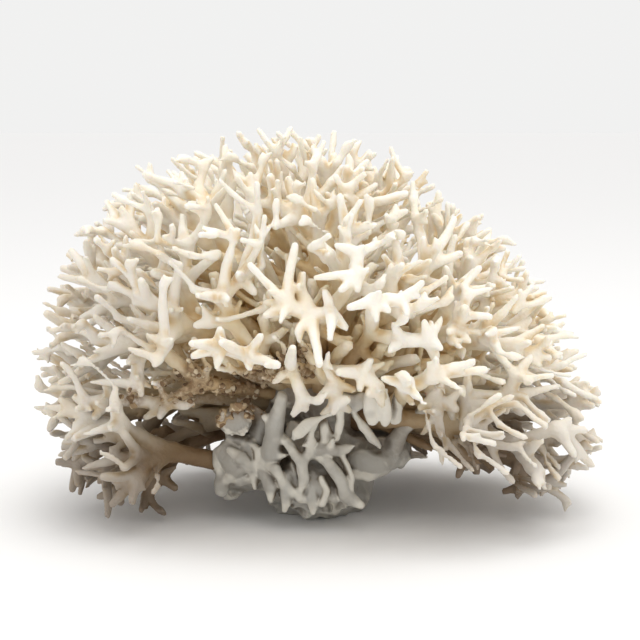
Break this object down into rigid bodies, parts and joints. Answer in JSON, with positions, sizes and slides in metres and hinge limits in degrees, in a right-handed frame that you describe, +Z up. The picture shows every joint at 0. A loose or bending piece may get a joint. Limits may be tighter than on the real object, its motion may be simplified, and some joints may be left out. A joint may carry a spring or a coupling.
{
  "type": "branching coral",
  "caption": "Bleached dome of densely forked coral twigs over a lumpy holdfast that is cut flat to stand on.",
  "frame": {"origin": "on the flat cut under the holdfast, below the centre from which all boughs grow", "axes": "+Z up, -Y towards the side that the picture shows, +X to that viewer's right"},
  "size_m": [0.2134, 0.1827, 0.1468],
  "materials": {
    "bleached_twigs": "matt, finely porous",
    "grey_holdfast": "matt, rough and pitted"
  },
  "bodies": {
    "root": {"back_bough_1": "bleached_twigs", "back_bough_10": "bleached_twigs", "back_bough_11": "bleached_twigs", "back_bough_12": "bleached_twigs", "back_bough_2": "bleached_twigs", "back_bough_3": "bleached_twigs", "back_bough_4": "bleached_twigs", "back_bough_5": "bleached_twigs", "back_bough_6": "bleached_twigs", "back_bough_7": "bleached_twigs", "back_bough_8": "bleached_twigs", "back_bough_9": "bleached_twigs", "centre_low": "bleached_twigs", "crown_bough_1": "bleached_twigs", "crown_bough_2": "bleached_twigs", "crown_bough_3": "bleached_twigs", "crown_bough_4": "bleached_twigs", "crown_bough_5": "bleached_twigs", "crown_bough_6": "bleached_twigs", "far_left": "bleached_twigs", "front_left": "bleached_twigs", "front_middle": "bleached_twigs", "front_right": "bleached_twigs", "holdfast": "grey_holdfast", "left_bough_1": "bleached_twigs", "left_bough_2": "bleached_twigs", "left_bough_3": "bleached_twigs", "left_bough_4": "bleached_twigs", "left_bough_5": "bleached_twigs", "lower_right": "bleached_twigs", "right_bough_1": "bleached_twigs", "right_bough_2": "bleached_twigs", "right_bough_3": "bleached_twigs", "right_bough_4": "bleached_twigs", "skirt_bough_1": "bleached_twigs", "skirt_bough_2": "bleached_twigs", "skirt_left": "bleached_twigs", "skirt_right": "bleached_twigs"}
  },
  "joints": []
}
